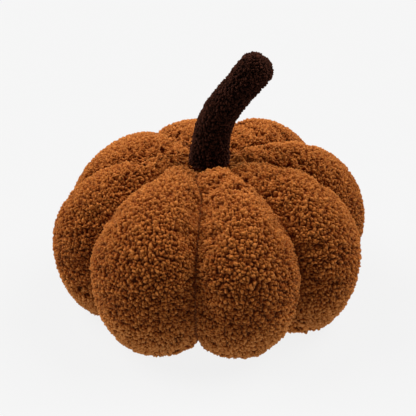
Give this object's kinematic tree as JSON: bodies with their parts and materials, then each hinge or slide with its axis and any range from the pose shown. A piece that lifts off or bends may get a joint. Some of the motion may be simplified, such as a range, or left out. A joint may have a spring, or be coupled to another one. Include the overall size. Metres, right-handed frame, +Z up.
{
  "type": "pumpkin cushion",
  "caption": "Stuffed cushion in the shape of a pumpkin, with sewn puffs of curly pile cloth and a bent stuffed stem on top.",
  "frame": {"origin": "on the floor, under the middle of the body's box", "axes": "+Z up, front towards -Y, the stem leans towards +X"},
  "size_m": [0.3506, 0.3388, 0.2954],
  "materials": {
    "rust_pile_cloth": "matte, short curly pile",
    "dark_brown_pile_cloth": "matte, short curly pile"
  },
  "bodies": {
    "root": {"body": "rust_pile_cloth", "stem": "dark_brown_pile_cloth"}
  },
  "joints": []
}
